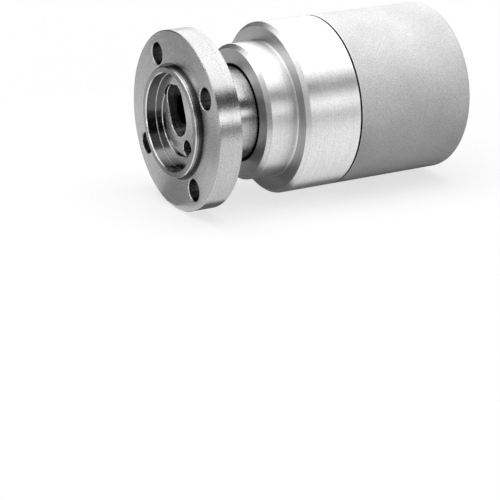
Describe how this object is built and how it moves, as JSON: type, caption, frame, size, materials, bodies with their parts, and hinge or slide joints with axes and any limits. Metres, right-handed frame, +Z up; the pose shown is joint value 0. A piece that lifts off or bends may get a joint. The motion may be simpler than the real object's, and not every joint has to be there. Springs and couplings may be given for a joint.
{
  "type": "hydraulic rotary union",
  "caption": "Flanged hydraulic rotary union: a ported rotor turns on ball bearings inside a stepped, cylindrical two-part housing with radial ports.",
  "frame": {"origin": "centre of the rotor flange's mounting face, on the axis of rotation", "axes": "+X along the axis of rotation from the flange towards the housing's rear, +Z up, +Y towards the main port"},
  "size_m": [0.1517, 0.09, 0.09],
  "materials": {
    "machined_steel": "fine turned, bright edges",
    "turned_steel": "finely turned and brushed round the axis",
    "blasted_aluminium": "matte, bead blasted",
    "bright_steel": "fine turned",
    "bearing_steel": "ground",
    "polished_balls": "polished",
    "pressed_steel": "pressed sheet",
    "spring_steel": "phosphated spring steel",
    "black_oxide_steel": "black oxide",
    "black_rubber": "matte",
    "bronze_filled_ptfe": "smooth, matte"
  },
  "bodies": {
    "housing": {"front_housing": "turned_steel", "rear_housing": "blasted_aluminium", "front_lip_seal": "black_rubber", "front_seal_garter_spring": "spring_steel", "front_bearing_outer_ring": "bearing_steel", "front_housing_circlip": "spring_steel", "housing_joint_o_ring": "black_rubber", "front_slipper_ring": "bronze_filled_ptfe", "front_energiser_ring": "black_rubber", "middle_slipper_ring": "bronze_filled_ptfe", "middle_energiser_ring": "black_rubber", "rear_slipper_ring": "bronze_filled_ptfe", "rear_energiser_ring": "black_rubber", "rear_bearing_outer_ring": "bearing_steel", "end_cap": "bright_steel", "end_cap_o_ring": "black_rubber", "end_cap_circlip": "spring_steel", "tie_screws": "black_oxide_steel", "locating_dowel": "bright_steel", "drain_plug": "bright_steel"},
    "rotor": {"flanged_rotor": "machined_steel", "front_bearing_inner_ring": "bearing_steel", "front_shaft_circlip": "spring_steel", "rear_bearing_inner_ring": "bearing_steel", "rear_shaft_circlip": "spring_steel"},
    "front_ball_set": {"front_bearing_cage": "pressed_steel", "front_bearing_balls": "polished_balls"},
    "rear_ball_set": {"rear_bearing_cage": "pressed_steel", "rear_bearing_balls": "polished_balls"}
  },
  "joints": [
    {"name": "rotor_spin", "type": "hinge", "parent": "housing", "child": "rotor", "pos_m": [0, 0, 0], "axis": [1, 0, 0], "continuous": true},
    {"name": "front_cage_spin", "type": "hinge", "parent": "housing", "child": "front_ball_set", "pos_m": [0.056, 0, 0], "axis": [1, 0, 0], "continuous": true},
    {"name": "rear_cage_spin", "type": "hinge", "parent": "housing", "child": "rear_ball_set", "pos_m": [0.1321, 0, 0], "axis": [1, 0, 0], "continuous": true}
  ],
  "couplings": [
    {"joint": "front_cage_spin", "follows": "rotor_spin", "ratio": 0.4377},
    {"joint": "rear_cage_spin", "follows": "rotor_spin", "ratio": 0.3897}
  ]
}
